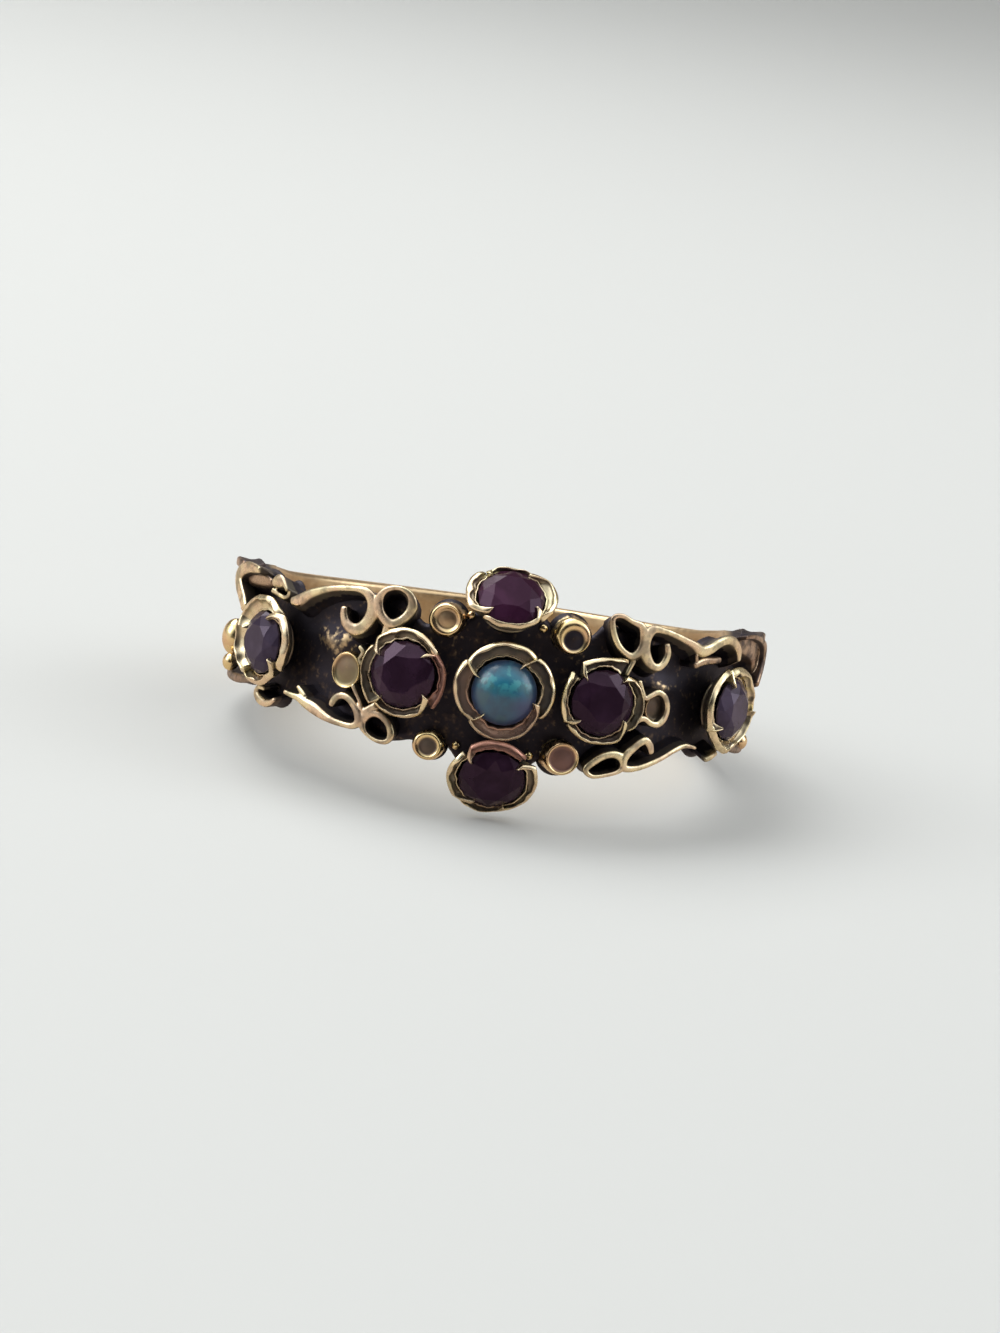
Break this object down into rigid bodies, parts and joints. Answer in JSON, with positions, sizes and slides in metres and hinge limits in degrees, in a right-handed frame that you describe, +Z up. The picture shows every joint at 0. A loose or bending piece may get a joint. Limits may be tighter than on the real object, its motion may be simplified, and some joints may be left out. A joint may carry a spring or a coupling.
{
  "type": "opal ring",
  "caption": "Gold finger ring lying on its side: an opal in a cross of dark red stones, a stone on each shoulder, scrolls, small balls and a plain shank.",
  "frame": {"origin": "centre of the finger hole, on its axis", "axes": "+Z up as the ring lies on its side, -Y towards the opal, +X to the right seen from the opal's side; the finger hole's axis leans 9.3 degrees from +Z towards +Y"},
  "size_m": [0.02, 0.0201, 0.0088],
  "materials": {
    "gold": "polished, worn",
    "oxidised_gold": "dark patina",
    "opal": "polished",
    "red_stone": "polished facets"
  },
  "bodies": {
    "root": {"mount": "gold", "opal": "opal", "stone_top": "red_stone", "stone_bottom": "red_stone", "stone_left": "red_stone", "stone_right": "red_stone", "stone_left_shoulder": "red_stone", "stone_right_shoulder": "red_stone"}
  },
  "joints": []
}
